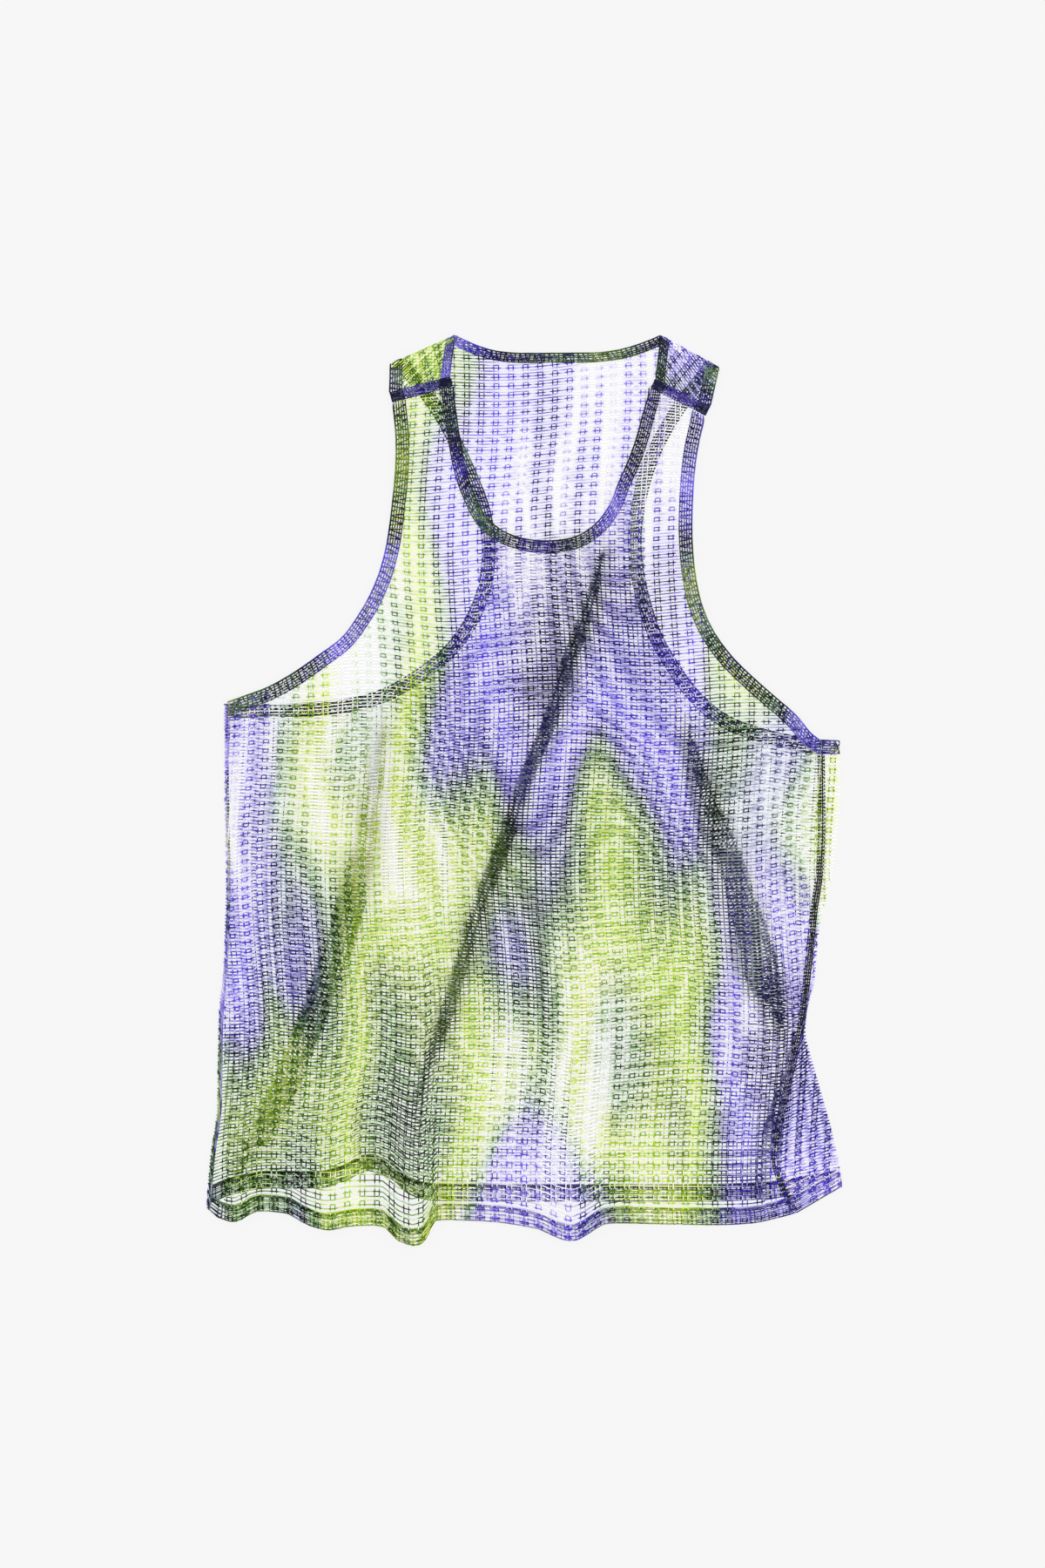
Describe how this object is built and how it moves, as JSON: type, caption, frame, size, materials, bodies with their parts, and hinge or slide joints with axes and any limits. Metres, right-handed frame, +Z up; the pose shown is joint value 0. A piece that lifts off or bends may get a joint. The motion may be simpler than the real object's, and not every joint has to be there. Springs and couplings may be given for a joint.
{
  "type": "running singlet laid flat",
  "caption": "Sleeveless racerback running singlet in a ladder-mesh knit, laid flat with soft diagonal folds, doubled bindings and turned hems.",
  "frame": {"origin": "on the underside of the back, where it rests, near the middle of the garment as laid", "axes": "+Y towards the neck, +X towards the right-hand edge as seen from above, +Z up out of the surface it lies on"},
  "size_m": [0.5121, 0.7297, 0.0149],
  "materials": {
    "front_knit": "open polyester ladder mesh, matt, tie-dye wash of white, lime, violet and dark green",
    "back_knit": "open polyester ladder mesh, matt, tie-dye wash of white, lilac, lime and dark green",
    "binding": "doubled mesh binding, matt",
    "shoulder_tape": "doubled dark seam, matt",
    "hem": "doubled and stitched mesh, matt"
  },
  "bodies": {
    "root": {"front_panel": "front_knit", "back_panel": "back_knit", "front_neck_band": "binding", "back_neck_band": "binding", "left_front_armhole_band": "binding", "right_front_armhole_band": "binding", "left_back_armhole_band": "binding", "right_back_armhole_band": "binding", "left_shoulder_seam": "shoulder_tape", "right_shoulder_seam": "shoulder_tape", "front_hem": "hem", "back_hem": "hem"}
  },
  "joints": []
}
